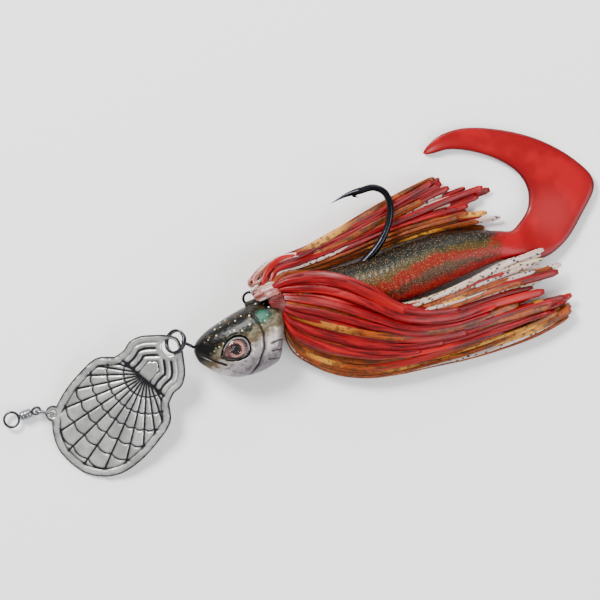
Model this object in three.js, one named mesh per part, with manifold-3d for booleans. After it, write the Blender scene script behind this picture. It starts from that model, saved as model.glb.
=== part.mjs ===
// Bladed swim jig lying on its side: swivel, link, stamped blade, split ring, fish head on an upward hook,
// silicone skirt and a curly-tail soft bait. +X runs from the line tie to the tail, +Z is up.
import * as THREE from "three";
import { mergeVertices } from "three/addons/utils/BufferGeometryUtils.js";
import Module from "manifold-3d";

const wasm = await Module();
wasm.setup();

// Driving dimensions, in millimetres and degrees.
const CLEARANCE = 0.3; // between pieces that touch on the real lure
const LURE_Z = 5.7; // height of the plane that holds the hook, head and trailer axes
const NOSE = [-20.3, -10.2]; // tip of the snout
const HEAD_ANGLE = 18.6;
const HEAD_LENGTH = 18.2;
const REAR_RAKE = 0.35; // how far the gill edge leans back, per millimetre of height
const EYE_CENTRE = [7.7, -1.7]; // along and across the head
const EYE_SIZE = [2.9, 2.1]; // half length and half height
const EYE_FLOOR = 3.7; // socket floor, from the lure's plane
const HOOK_WIRE = 0.75; // radius
const NECK_CENTRE = [-4.5, -0.1]; // middle of the collar, on the shank
const NECK_ANGLE = 22;
const NECK_RADIUS = 2;
const COLLAR = { inner: 3, outer: 3.6, length: 3 };
const BLADE_CENTRE = [-34.2, -19.83];
const BLADE_ANGLE = 49.5;
const BLADE_TAIL = -15.9; // wide end, along the blade
const BLADE_THICKNESS = 0.8;
const BLADE_PITCH = 11.7;
const RING_HOLE = { along: 14.5, radius: 1.6 };
const LINK_HOLE = { along: -10.6, across: 8.9, radius: 0.65, lug: 1.55 };
const RING = { along: 16.05, across: -0.15, radius: 2.15, width: 0.26, height: 0.46, tilt: 35, turn: 7 };
const NOSE_EYE = { radius: 1.1, wire: 0.3, angle: -26, centre: [-21.55, -8.5] };
const TOP_EYE = { radius: 1.2, wire: 0.25, stem: 0.8, centre: [-9.7, 0.3] };
const SWIVEL = { angle: 20, height: 1.35, wire: 0.25, barrel: 0.95, length: 2.3 };
const LINK = { reach: 3.4, half: 1, wire: 0.25, angle: -8 };
const FLAT = 2; // exponent of a round or elliptical section
const SQUARE = 3.2; // exponent of a section with flat sides

const degrees = THREE.MathUtils.degToRad;
const UP = new THREE.Vector3(0, 0, 1);

// ---- joining and cutting ----

function solidOf(geometry) {
  const bare = geometry.index ? geometry.toNonIndexed() : geometry.clone();
  bare.deleteAttribute("normal");
  bare.deleteAttribute("uv");
  const merged = mergeVertices(bare, 1e-4);
  const triVerts = new Uint32Array(merged.index.array);
  const vertProperties = merged.attributes.position.array;
  const made = new wasm.Manifold(new wasm.Mesh({ numProp: 3, vertProperties, triVerts }));
  if (made.volume() >= 0) return made;
  for (let i = 0; i < triVerts.length; i += 3) {
    [triVerts[i + 1], triVerts[i + 2]] = [triVerts[i + 2], triVerts[i + 1]];
  }
  return new wasm.Manifold(new wasm.Mesh({ numProp: 3, vertProperties, triVerts }));
}

function geometryOf(solid) {
  const mesh = solid.getMesh();
  const geometry = new THREE.BufferGeometry();
  geometry.setAttribute("position", new THREE.BufferAttribute(mesh.vertProperties, 3));
  geometry.setIndex(new THREE.BufferAttribute(mesh.triVerts, 1));
  const faceted = geometry.toNonIndexed();
  faceted.computeVertexNormals();
  return faceted;
}

const join = (...pieces) => pieces.map(solidOf).reduce((a, b) => a.add(b));
const cut = (solid, ...tools) => tools.map(solidOf).reduce((a, b) => a.subtract(b), solid);

// ---- shapes ----

// A closed skin through elliptical sections. Each section has a centre, a half width on its left (plus) and
// right (minus), a half thickness over and under, and an exponent that squares it off.
function loft(sections, { sides = 12, closed = false, up = UP } = {}) {
  const count = sections.length;
  const points = [];
  const faces = [];
  sections.forEach((section, i) => {
    const before = sections[closed ? (i + count - 1) % count : Math.max(i - 1, 0)].at;
    const after = sections[closed ? (i + 1) % count : Math.min(i + 1, count - 1)].at;
    const along = after.clone().sub(before).normalize();
    const left = up.clone().cross(along).normalize();
    const over = along.clone().cross(left);
    const power = 2 / (section.power ?? FLAT);
    for (let k = 0; k < sides; k++) {
      const c = Math.cos((2 * Math.PI * k) / sides);
      const s = Math.sin((2 * Math.PI * k) / sides);
      const width = c > 0 ? section.plus : section.minus ?? section.plus;
      const height = s > 0 ? section.over : section.under ?? section.over;
      const point = section.at.clone();
      point.addScaledVector(left, Math.sign(c) * Math.abs(c) ** power * width);
      point.addScaledVector(over, Math.sign(s) * Math.abs(s) ** power * height);
      points.push(point);
    }
  });
  const spans = closed ? count : count - 1;
  for (let i = 0; i < spans; i++) {
    for (let k = 0; k < sides; k++) {
      const a = i * sides + k;
      const b = i * sides + ((k + 1) % sides);
      const c = ((i + 1) % count) * sides + ((k + 1) % sides);
      const d = ((i + 1) % count) * sides + k;
      faces.push(a, b, c, a, c, d);
    }
  }
  if (!closed) {
    const first = points.push(sections[0].at.clone()) - 1;
    const last = points.push(sections[count - 1].at.clone()) - 1;
    for (let k = 0; k < sides; k++) {
      const next = (k + 1) % sides;
      faces.push(first, next, k);
      faces.push(last, (count - 1) * sides + k, (count - 1) * sides + next);
    }
  }
  const geometry = new THREE.BufferGeometry().setFromPoints(points);
  geometry.setIndex(faces);
  const faceted = geometry.toNonIndexed();
  faceted.computeVertexNormals();
  return faceted;
}

const vector = ([x, y, z = LURE_Z]) => new THREE.Vector3(x, y, z);

// A round wire through hand-placed points, its radius given as a number or as a function of the share travelled.
function wire(points, radius, steps, sides = 8) {
  const curve = new THREE.CatmullRomCurve3(points.map(vector), false, "centripetal");
  const sizeAt = typeof radius === "function" ? radius : () => radius;
  const sections = curve.getSpacedPoints(steps).map((at, i) => {
    const size = sizeAt(i / steps);
    return { at, plus: size, over: size };
  });
  return loft(sections, { sides });
}

// A soft solid along a centre line: rows of x, y, z, half width, half thickness.
function softBody(rows, steps, { sides = 12, power = FLAT } = {}) {
  const centre = new THREE.CatmullRomCurve3(rows.map(([x, y, z]) => new THREE.Vector3(x, y, z)));
  const size = new THREE.SplineCurve(rows.map(([, , , w, t]) => new THREE.Vector2(w, t)));
  const sections = [];
  for (let i = 0; i <= steps; i++) {
    const { x: plus, y: over } = size.getPoint(i / steps);
    sections.push({ at: centre.getPoint(i / steps), plus, over, power });
  }
  return loft(sections, { sides });
}

// An eye of wire in the XY plane about the origin, its stem running along +X.
function wireEye(radius, wireRadius, stem) {
  const ring = new THREE.TorusGeometry(radius, wireRadius, 8, 20);
  const shaft = new THREE.CylinderGeometry(wireRadius, wireRadius, stem, 8);
  shaft.rotateZ(-Math.PI / 2).translate(radius + stem / 2, 0, 0);
  return geometryOf(join(ring, shaft));
}

// A turned piece about the X axis, from rows of distance along X and radius.
function turned(profile, segments) {
  const points = profile.map(([along, radius]) => new THREE.Vector2(radius, along));
  const geometry = new THREE.LatheGeometry(points, segments);
  return geometry.rotateZ(-Math.PI / 2);
}

const placed = (geometry, [x, y], angle, z = LURE_Z) =>
  geometry.clone().rotateZ(degrees(angle)).translate(x, y, z);

// ---- the pieces ----

const finish = {
  steel: { color: 0x5a5a5e, metalness: 1, roughness: 0.3 },
  nickel: { color: 0xb9b9b6, metalness: 1, roughness: 0.35 },
  blackNickel: { color: 0x17171a, metalness: 0.9, roughness: 0.25 },
  paint: { color: 0x8f8a7c, metalness: 0.2, roughness: 0.35 },
  iris: { color: 0xd8a59a, metalness: 0.3, roughness: 0.3 },
  lens: { color: 0xf2f4f4, metalness: 0, roughness: 0.08 },
  clearSilicone: { color: 0xe8d8d0, metalness: 0, roughness: 0.3 },
  redSilicone: { color: 0xc8141a, metalness: 0, roughness: 0.35 },
  goldSilicone: { color: 0xb8652a, metalness: 0, roughness: 0.35 },
  bodyPlastic: { color: 0x6e5a3c, metalness: 0, roughness: 0.3 },
  tailPlastic: { color: 0xd01822, metalness: 0, roughness: 0.25 },
};

function piece(name, geometry, look) {
  const mesh = new THREE.Mesh(geometry, new THREE.MeshStandardMaterial(look));
  mesh.name = name;
  return mesh;
}

// Hook: eye buried in the head, straight shank, round bend, point facing forward above the back.
const HOOK_LINE = [
  [-9.9, -5.4], [-9.1, -3.3], [-7.2, -1.5], [-3.6, 0.2], [2.6, 2.7], [8.0, 4.9], [11.4, 6.6], [14.1, 9.2], [16.1, 12.3],
  [17.2, 15.6], [17.25, 18.4], [16.2, 20.7], [14.1, 21.6], [11.6, 21.0], [9.0, 20.2], [5.8, 18.5],
];
const HOOK_EYE = { radius: 1.3, wire: 0.6 };

function hook(extra) {
  const slim = (share) => HOOK_WIRE * (share < 0.9 ? 1 : 1 - 0.88 * ((share - 0.9) / 0.1)) + extra;
  const shank = wire(HOOK_LINE, slim, 44, 10);
  const eye = new THREE.TorusGeometry(HOOK_EYE.radius, HOOK_EYE.wire + extra, 8, 18);
  const barb = loft([
    { at: vector([10.9, 20.7]), plus: 0.12 + extra, over: 0.3 + extra },
    { at: vector([10.2, 20.2]), plus: 0.5 + extra, over: 0.3 + extra },
    { at: vector([11.3, 19.8]), plus: 0.08 + extra, over: 0.1 + extra },
  ], { sides: 6 });
  const [x, y] = HOOK_LINE[0];
  const pieces = [shank, placed(eye, [x - 0.4, y - 1.5], 0)];
  return extra ? join(...pieces) : join(...pieces, barb);
}

// Cast head, in its own frame: +X from the snout to the gill edge, +Y towards the back of the fish.
const HEAD_SECTIONS = [
  // along, top, bottom, half thickness
  [0, 0.9, 1.5, 1.1], [1.1, 2.0, 3.0, 2.1], [3, 3.1, 5.0, 3.3], [6, 4.1, 6.8, 4.3], [9.5, 5.0, 7.4, 4.9],
  [12.5, 5.4, 7.4, 5.1], [15.3, 5.0, 7.0, 5.0], [17.2, 3.8, 6.3, 4.3], [HEAD_LENGTH, 1.9, 4.6, 2.9],
];

function headBody() {
  const sections = HEAD_SECTIONS.map(([along, top, bottom, thick]) => ({
    at: new THREE.Vector3(along, 0, 0), plus: top, minus: bottom, over: thick, power: 2.2,
  }));
  const body = loft(sections, { sides: 24 });
  const place = body.attributes.position;
  for (let i = 0; i < place.count; i++) {
    const share = place.getX(i) / HEAD_LENGTH;
    place.setX(i, place.getX(i) + REAR_RAKE * place.getY(i) * share ** 2);
  }
  return placed(body, NOSE, HEAD_ANGLE);
}

// Neck for the skirt, then the barbed keeper that the trailer's nose is pushed over.
const keeperProfile = (extra) => [
  [-6.5, 0], [-6.5, NECK_RADIUS + extra], [2 + extra, NECK_RADIUS + extra], [2 + extra, 1.55 + extra],
  [4.3 - extra, 1.55 + extra], [4.6 - extra, 2.05 + extra], [5.6 + extra, 1.5 + extra], [5.6 + extra, 0],
];
const neck = (extra) => placed(turned(keeperProfile(extra), 20), NECK_CENTRE, NECK_ANGLE);

function noseEye(extra) {
  const { radius, wire: thick, angle, centre } = NOSE_EYE;
  const eye = wireEye(radius, thick + extra, 4.5);
  return placed(eye.rotateX(Math.PI / 2), centre, angle);
}

function topEye(extra) {
  const { radius, wire: thick, stem, centre } = TOP_EYE;
  return placed(wireEye(radius, thick + extra, stem), centre, HEAD_ANGLE - 90);
}

// Teardrop with its sharp corner towards the snout, grown by a margin.
function teardrop(margin) {
  const [length, height] = [EYE_SIZE[0] + margin, EYE_SIZE[1] + margin];
  const outline = new THREE.Shape();
  outline.moveTo(-length, -0.35 * height);
  outline.quadraticCurveTo(-0.5 * length, 0.95 * height, 0.25 * length, height);
  outline.quadraticCurveTo(length, 0.9 * height, length, 0);
  outline.quadraticCurveTo(length, -height, 0.2 * length, -height);
  outline.quadraticCurveTo(-0.5 * length, -height, -length, -0.35 * height);
  return outline;
}

function eyePlate(margin, from, to, side) {
  const plate = new THREE.ExtrudeGeometry(teardrop(margin), {
    depth: to - from, bevelEnabled: false, curveSegments: 5,
  });
  plate.translate(EYE_CENTRE[0], EYE_CENTRE[1], side > 0 ? from : -to);
  return placed(plate, NOSE, HEAD_ANGLE);
}

function head() {
  const cast = join(headBody(), neck(0));
  const behindNeck = turned([[-1.9, 0], [-1.9, 4.1], [9, 4.1], [9, 0]], 24);
  const aroundNeck = turned([[-7.5, 0], [-7.5, NECK_RADIUS], [9.5, NECK_RADIUS], [9.5, 0]], 20);
  const relief = solidOf(placed(behindNeck, NECK_CENTRE, NECK_ANGLE))
    .subtract(solidOf(placed(aroundNeck, NECK_CENTRE, NECK_ANGLE)));
  const sockets = [1, -1].map((side) => eyePlate(CLEARANCE, EYE_FLOOR, 9, side));
  const bored = cut(cast.subtract(relief), noseEye(CLEARANCE), topEye(CLEARANCE), ...sockets);
  return bored.subtract(hook(CLEARANCE));
}

// Blade, in its own frame: +X from the wide end to the ring, +Y towards the link's side.
function bladeOutline() {
  const body = [[-15.5, 3.2], [-13.6, 6.5], [-10.8, 8.7], [-6.5, 9.9], [-1, 10.1], [3.4, 9.4], [6, 6.9]];
  const cap = [[8, 6.4], [10.2, 6.6], [12.3, 5.7], [14.3, 3.8], [16, 1.8], [16.8, 0]];
  const points = (side, rows) => rows.map(([x, y]) => new THREE.Vector2(x, side * y));
  const outline = new THREE.Shape();
  outline.moveTo(BLADE_TAIL, 0);
  outline.splineThru(points(-1, body));
  outline.splineThru(points(-1, cap));
  outline.splineThru(points(1, [...cap.slice(0, -1)].reverse()));
  outline.splineThru(points(1, [...body].reverse()));
  outline.closePath();
  return outline;
}

function blade() {
  const plate = new THREE.ExtrudeGeometry(bladeOutline(), {
    depth: BLADE_THICKNESS, bevelEnabled: false, curveSegments: 4,
  });
  plate.translate(0, 0, -BLADE_THICKNESS / 2);
  const disc = (radius, height, x, y) =>
    new THREE.CylinderGeometry(radius, radius, height, 24).rotateX(Math.PI / 2).translate(x, y, 0);
  const { along, across, radius, lug } = LINK_HOLE;
  const whole = join(plate, disc(lug, BLADE_THICKNESS, along, across));
  const holes = [disc(RING_HOLE.radius, 3, RING_HOLE.along, 0), disc(radius, 3, along, across)];
  return geometryOf(cut(whole, ...holes));
}

function splitRing() {
  const { radius, width, height } = RING;
  const sections = [];
  for (let i = 0; i < 32; i++) {
    const angle = (2 * Math.PI * i) / 32;
    const at = new THREE.Vector3(radius * Math.cos(angle), radius * Math.sin(angle), 0);
    sections.push({ at, plus: width, over: height, power: SQUARE });
  }
  return loft(sections, { sides: 8, closed: true });
}

// Stretched oval loop standing on edge: one end in the blade's hole at the origin, the other at -X.
function linkWire() {
  const { reach, half, wire: size } = LINK;
  const sections = [];
  for (const end of [0, 1]) {
    for (let i = 0; i <= 8; i++) {
      const angle = Math.PI * (end + i / 8) - Math.PI / 2;
      const x = (end ? half - reach : -half) + half * Math.cos(angle);
      sections.push({ at: new THREE.Vector3(x, 0, half * Math.sin(angle)), plus: size, over: size });
    }
  }
  return loft(sections, { sides: 8, closed: true, up: new THREE.Vector3(0, 1, 0) });
}

// Barrel about the X axis, with a hole at each end for a headed stem.
function barrel() {
  const { barrel: outer, length } = SWIVEL;
  const end = length / 2;
  const profile = [
    [-end, 0.45], [-end, outer - 0.15], [0.15 - end, outer], [end - 0.15, outer], [end, outer - 0.15],
    [end, 0.45], [end - 0.3, 0.45], [end - 0.3, 0.7], [0.3 - end, 0.7], [0.3 - end, 0.45], [-end, 0.45],
  ];
  return turned(profile, 20);
}

// Swivel eye with its stem's head at the origin side: ring radius, and the distance from ring to barrel middle.
function swivelEye(radius, distance) {
  const stem = distance - radius - 0.45;
  const eye = wireEye(radius, SWIVEL.wire, stem);
  const headed = new THREE.CylinderGeometry(0.5, 0.5, 0.4, 12).rotateZ(-Math.PI / 2);
  headed.translate(radius + stem, 0, 0);
  return geometryOf(join(eye, headed)).translate(-distance, 0, 0);
}

function collar() {
  const { inner, outer, length } = COLLAR;
  const end = length / 2;
  const profile = [
    [-end, inner], [-end, outer - 0.2], [0.2 - end, outer], [end - 0.2, outer], [end, outer - 0.2],
    [end, inner], [-end, inner],
  ];
  return placed(turned(profile, 28), NECK_CENTRE, NECK_ANGLE);
}

// Strand roots under the collar, and their short ends that flare upwards in front of it.
function frontFlare() {
  const root = NECK_RADIUS + 0.2;
  const under = COLLAR.inner - 0.2;
  const band = turned([[-1.6, root], [-1.6, under], [1.4, under], [1.4, root], [-1.6, root]], 28);
  const fan = turned([[-1.8, root], [-1.7, under], [-3.4, 5.6], [-3.9, 5.2], [-2.4, root], [-1.8, root]], 28);
  const neckJoin = turned([[-2.1, root], [-2.1, under], [-1.4, under], [-1.4, root], [-2.1, root]], 28);
  const lower = new THREE.BoxGeometry(4, 20, 20).translate(-3.65, -8.6, 0);
  const whole = cut(join(band, neckJoin, fan), lower);
  return placed(geometryOf(whole), NECK_CENTRE, NECK_ANGLE);
}

// Skirt bundles: x, y, z, half width, half thickness along each bundle.
const SKIRT = {
  skirt_upper_red: [finish.redSilicone, [
    [-4.2, 5.9, 3.3, 1.1, 0.6], [3, 9.3, 3.4, 2.6, 0.85], [10, 12.6, 3.4, 3.2, 0.9],
    [17, 16.6, 3.3, 2.7, 0.9], [24, 20.4, 3.2, 2.0, 0.8], [28.6, 22.7, 3.1, 0.9, 0.5],
  ]],
  skirt_upper_gold: [finish.goldSilicone, [
    [-3.4, 6.0, 1.2, 1.0, 0.5], [5, 9.4, 1.2, 2.0, 0.85], [14, 12.4, 1.2, 2.2, 0.9],
    [23, 15.0, 1.2, 2.4, 0.9], [31, 18.4, 1.2, 1.2, 0.6],
  ]],
  skirt_lower_red: [finish.redSilicone, [
    [-0.9, -5.2, 6.3, 1.0, 1.0], [4, -6.4, 6.4, 2.7, 1.4], [12, -7.6, 6.4, 2.9, 1.5],
    [20, -8.0, 6.3, 2.8, 1.4], [28, -6.2, 6.0, 2.3, 1.2], [34, -4.4, 5.8, 1.1, 0.7],
  ]],
  skirt_lower_gold: [finish.goldSilicone, [
    [-0.9, -8.4, 2.2, 1.2, 1.3], [4, -10.4, 2.1, 2.4, 1.9], [12, -11.6, 2.1, 3.0, 2.0],
    [22, -10.6, 2.1, 2.9, 2.0], [32, -7.9, 2.0, 2.5, 1.9], [42, -4.9, 1.8, 1.9, 1.7],
    [51.5, -2.3, 1.4, 0.8, 1.0],
  ]],
  skirt_lower_clear: [finish.clearSilicone, [
    [1.2, -2.9, 6.6, 0.5, 0.7], [8, -2.9, 6.6, 0.8, 1.0], [19, -3.1, 6.3, 0.9, 1.2],
    [28, 0.7, 5.8, 1.1, 1.3], [37, 4.4, 4.6, 1.1, 1.3], [45.6, 6.6, 3.4, 0.6, 0.8],
  ]],
  skirt_long_red: [finish.redSilicone, [
    [0.2, -5.6, 9.4, 0.9, 0.7], [7, -6.8, 9.6, 2.2, 1.0], [14, -6.6, 9.6, 2.2, 1.0],
    [23, -4.9, 9.4, 1.9, 1.0], [32, -2.6, 8.2, 1.7, 1.0], [41, 0, 5.8, 1.4, 1.0],
    [50.6, 2.2, 3.6, 0.7, 0.6],
  ]],
};

// Soft bait: body rows, then the ribbon of the curled tail, both as x, y, z, half width, half thickness.
const TRAILER_BODY = [
  [-1.9, 0.95, LURE_Z, 2.85, 2.85], [3.5, 2.2, LURE_Z, 3.1, 3.1], [9, 2.6, LURE_Z, 4.0, 3.9],
  [15, 3.5, LURE_Z, 4.8, 4.6], [20, 5.2, LURE_Z, 5.2, 4.8], [28, 8.2, 5.4, 4.7, 4.4],
  [34.5, 9.9, 4.6, 3.5, 3.3], [39.7, 10.5, 3.8, 2.3, 2.1], [41.2, 10.55, 3.6, 1.7, 1.5],
];
const TAIL = [
  [42.2, 10.6, 3.0, 1.9, 1.0], [45.4, 11.1, 2.0, 4.0, 1.2], [48.6, 14.2, 1.4, 6.2, 1.25],
  [50.2, 19.5, 1.3, 6.6, 1.25], [49.2, 24.6, 1.25, 6.0, 1.2], [45.0, 28.0, 1.2, 4.6, 1.15],
  [38.8, 30.4, 1.15, 3.2, 1.1], [31.8, 31.4, 1.05, 2.1, 1.0], [26.4, 30.2, 0.85, 1.1, 0.8],
  [23.9, 28.6, 0.55, 0.4, 0.5],
];

function trailerBody() {
  const body = solidOf(softBody(TRAILER_BODY, 22, { sides: 20 }));
  return geometryOf(body.subtract(solidOf(neck(CLEARANCE))).subtract(hook(CLEARANCE)));
}

// ---- assembly ----

const lure = new THREE.Group();

lure.add(piece("head", geometryOf(head()), finish.paint));
lure.add(piece("nose_eye", noseEye(0), finish.steel));
lure.add(piece("top_eye", topEye(0), finish.blackNickel));
lure.add(piece("hook", geometryOf(hook(0)), finish.blackNickel));
for (const [label, side] of [["left", 1], ["right", -1]]) {
  const disc = EYE_FLOOR + CLEARANCE;
  const lens = disc + 0.4 + CLEARANCE;
  lure.add(piece(`${label}_eye_disc`, eyePlate(0, disc, disc + 0.4, side), finish.iris));
  lure.add(piece(`${label}_eye_lens`, eyePlate(-0.1, lens, lens + 0.5, side), finish.lens));
}
lure.add(piece("skirt_collar", collar(), finish.clearSilicone));
lure.add(piece("skirt_front_flare", frontFlare(), finish.clearSilicone));
for (const [name, [look, rows]] of Object.entries(SKIRT)) {
  lure.add(piece(name, softBody(rows, 14), look));
}
lure.add(piece("trailer_body", trailerBody(), finish.bodyPlastic));
lure.add(piece("trailer_tail", softBody(TAIL, 30, { power: SQUARE }), finish.tailPlastic));

const bladeFrame = new THREE.Group();
const pitch = degrees(BLADE_PITCH);
bladeFrame.rotation.set(0, -pitch, degrees(BLADE_ANGLE), "ZYX");
const bladeRise = -BLADE_TAIL * Math.sin(pitch) + (BLADE_THICKNESS / 2) * Math.cos(pitch);
bladeFrame.position.set(...BLADE_CENTRE, bladeRise);
bladeFrame.add(piece("blade", blade(), finish.nickel));
const ring = piece("split_ring", splitRing(), finish.steel);
ring.position.set(RING.along, RING.across, 0);
ring.rotation.set(degrees(-RING.tilt), 0, degrees(RING.turn), "ZXY");
bladeFrame.add(ring);
lure.add(bladeFrame);
bladeFrame.updateMatrixWorld(true);

const linkHole = new THREE.Vector3(LINK_HOLE.along, LINK_HOLE.across, 0).applyMatrix4(bladeFrame.matrixWorld);
const swivelFrame = new THREE.Group();
swivelFrame.position.set(linkHole.x, linkHole.y, SWIVEL.height);
const link = piece("link_wire", linkWire(), finish.steel);
link.rotation.z = degrees(LINK.angle);
swivelFrame.add(link);
lure.add(swivelFrame);

const swivel = new THREE.Group();
swivel.position.set(linkHole.x - 5.3, linkHole.y - 0.2, SWIVEL.height);
swivel.rotation.z = degrees(SWIVEL.angle);
swivel.add(piece("swivel_barrel", barrel(), finish.steel));
swivel.add(piece("swivel_front_eye", swivelEye(1.45, 2.95), finish.steel));
const rearEye = piece("swivel_rear_eye", swivelEye(0.8, 2.1).rotateX(degrees(40)), finish.steel);
rearEye.rotation.z = Math.PI;
swivel.add(rearEye);
lure.add(swivel);

// The origin is the bottom centre of the whole lure's box.
const bounds = new THREE.Box3().setFromObject(lure, true);
const centre = bounds.getCenter(new THREE.Vector3());
lure.position.set(-centre.x, -centre.y, -bounds.min.z);

export default lure;
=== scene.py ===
import math

import bmesh
import bpy
import numpy as np
from mathutils import Matrix, Vector
from mathutils.geometry import delaunay_2d_cdt


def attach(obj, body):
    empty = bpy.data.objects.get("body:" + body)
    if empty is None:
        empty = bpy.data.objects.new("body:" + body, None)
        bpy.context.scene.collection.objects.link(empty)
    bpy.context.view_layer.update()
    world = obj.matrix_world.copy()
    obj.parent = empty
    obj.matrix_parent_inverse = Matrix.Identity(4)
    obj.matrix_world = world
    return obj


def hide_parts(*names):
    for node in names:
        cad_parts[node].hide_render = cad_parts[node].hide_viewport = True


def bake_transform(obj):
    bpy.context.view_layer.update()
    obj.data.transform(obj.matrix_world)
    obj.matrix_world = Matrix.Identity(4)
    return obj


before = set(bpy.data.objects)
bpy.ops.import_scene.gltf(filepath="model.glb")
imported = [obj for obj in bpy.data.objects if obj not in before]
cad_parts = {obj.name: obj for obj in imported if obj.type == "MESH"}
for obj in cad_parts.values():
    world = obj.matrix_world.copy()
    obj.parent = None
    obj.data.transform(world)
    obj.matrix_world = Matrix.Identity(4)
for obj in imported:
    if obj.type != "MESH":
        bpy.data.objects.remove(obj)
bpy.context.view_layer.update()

# Shapes are drawn in the lure's own frame, in millimetres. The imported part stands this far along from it.
SHIFT = np.array([0.3462, 0.2430, 0.0])
# Height of the plane that the head, the hook and the front of the bait are centred on.
LURE_Z = 5.7


def row(points):
    """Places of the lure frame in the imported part's frame, in metres."""
    return (np.asarray(points, float) + SHIFT) / 1000


# ---- camera, floor and light ----

camera = bpy.data.objects.new("camera", bpy.data.cameras.new("camera"))
bpy.context.scene.collection.objects.link(camera)
camera.location = (0.000346, 0.000243, 0.6057)
camera.data.sensor_width = 36
camera.data.lens = 187.5
camera.data.clip_start = 0.05
bpy.context.scene.camera = camera


def light(name, place, size, watts, colour=(1, 1, 1), aim=(0, 0, 0)):
    """A square soft box that faces its aim."""
    data = bpy.data.lights.new(name, "AREA")
    data.shape = "SQUARE"
    data.size = size
    data.energy = watts
    data.color = colour
    lamp = bpy.data.objects.new(name, data)
    bpy.context.scene.collection.objects.link(lamp)
    lamp.location = place
    lamp.rotation_mode = "QUATERNION"
    lamp.rotation_quaternion = (Vector(aim) - Vector(place)).to_track_quat("-Z", "Y")


light("key", (-0.35, 0.38, 0.55), 0.26, 10.5, (1, 0.985, 0.96))
light("fill", (0.5, -0.25, 0.5), 0.6, 6.0, (0.95, 0.975, 1))
light("rim", (0.1, 0.6, 0.22), 0.25, 1.6)
light("card", (-0.2, -0.21, 0.55), 0.3, 0.12, aim=(-0.034, -0.02, 0))

world = bpy.data.worlds.new("studio")
world.use_nodes = True
world.node_tree.nodes["Background"].inputs["Color"].default_value = (1, 1, 1, 1)
world.node_tree.nodes["Background"].inputs["Strength"].default_value = 0.5
bpy.context.scene.world = world

# ---- node materials ----


class Look:
    """A Principled material with short names for the nodes that colour it."""

    def __init__(self, name, **settings):
        self.material = bpy.data.materials.new(name)
        self.material.use_nodes = True
        self.tree = self.material.node_tree
        self.shader = self.tree.nodes["Principled BSDF"]
        self.set(**settings)

    def put(self, socket, value):
        if isinstance(value, bpy.types.NodeSocket):
            self.tree.links.new(value, socket)
        elif isinstance(value, (tuple, list)) and len(value) == 3 and socket.type == "RGBA":
            socket.default_value = (*value, 1)
        else:
            socket.default_value = value

    def set(self, **settings):
        for name, value in settings.items():
            self.put(self.shader.inputs[name.replace("_", " ")], value)

    def node(self, kind, **inputs):
        made = self.tree.nodes.new("ShaderNode" + kind)
        for name, value in inputs.items():
            self.put(made.inputs[name.replace("_", " ")], value)
        return made

    def at(self, name="at"):
        made = self.node("Attribute")
        made.attribute_name = name
        return made.outputs["Vector"]

    def split(self, vector):
        return self.node("SeparateXYZ", Vector=vector).outputs

    def scaled(self, vector, x, y, z):
        made = self.node("Mapping", Vector=vector)
        made.inputs["Scale"].default_value = (x, y, z)
        return made.outputs["Vector"]

    def noise(self, vector, scale, detail=3.0, rough=0.55):
        made = self.node("TexNoise", Vector=vector, Scale=scale, Detail=detail, Roughness=rough)
        return made.outputs["Fac"]

    def cells(self, vector, scale):
        return self.node("TexVoronoi", Vector=vector, Scale=scale).outputs["Distance"]

    def maths(self, operation, *values):
        made = self.tree.nodes.new("ShaderNodeMath")
        made.operation = operation
        for socket, value in zip(made.inputs, values):
            self.put(socket, value)
        return made.outputs["Value"]

    def step(self, value, low, high):
        """0 below low to 1 above high, smoothly; low above high turns it round."""
        made = self.node("MapRange", Value=value)
        made.interpolation_type = "SMOOTHSTEP"
        made.inputs["From Min"].default_value = low
        made.inputs["From Max"].default_value = high
        return made.outputs["Result"]

    def ramp(self, value, *stops):
        """Colours by value, from (place, colour) stops."""
        made = self.node("ValToRGB", Fac=value)
        points = made.color_ramp.elements
        while len(points) < len(stops):
            points.new(0.5)
        for point, (place, colour) in zip(points, stops):
            point.position = place
            point.color = (*colour, 1)
        return made.outputs["Color"]

    def part(self, value, share):
        return self.maths("MULTIPLY", value, share)

    def centred(self, value):
        return self.maths("SUBTRACT", value, 0.5)

    def distance(self, vector, place):
        made = self.node("VectorMath", Vector=vector)
        made.operation = "DISTANCE"
        made.inputs[1].default_value = place
        return made.outputs["Value"]

    def mix(self, share, first, second):
        made = self.tree.nodes.new("ShaderNodeMix")
        made.data_type = "RGBA"
        self.put(made.inputs["Factor"], share)
        # Sockets 6, 7 and 2 are the colour ones; the node has others with the same names.
        self.put(made.inputs[6], first)
        self.put(made.inputs[7], second)
        return made.outputs[2]

    def bump(self, height, strength, distance):
        made = self.node("Bump", Height=height, Strength=strength, Distance=distance)
        self.put(self.shader.inputs["Normal"], made.outputs["Normal"])


def srgb(code):
    channels = [int(code[i:i + 2], 16) / 255 for i in (0, 2, 4)]
    return tuple(c / 12.92 if c <= 0.04045 else ((c + 0.055) / 1.055) ** 2.4 for c in channels)


def floor_look():
    return Look("pale_floor", Base_Color=(0.97, 0.97, 0.97), Roughness=0.9, Specular_IOR_Level=0.1).material


def wire_look(name, colour, roughness, brushed=0.06):
    """Drawn wire with a fine grain, in patches of two tones."""
    look = Look(name, Metallic=1.0, Roughness=roughness)
    grain = look.noise(look.at(), 2.4, 4)
    look.set(Base_Color=look.mix(look.step(grain, 0.35, 0.75), colour, tuple(c * 0.55 for c in colour)))
    look.set(Roughness=look.maths("ADD", roughness, look.part(grain, brushed)))
    look.bump(look.noise(look.at(), 9, 5), 0.25, 0.00004)
    return look.material


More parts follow.
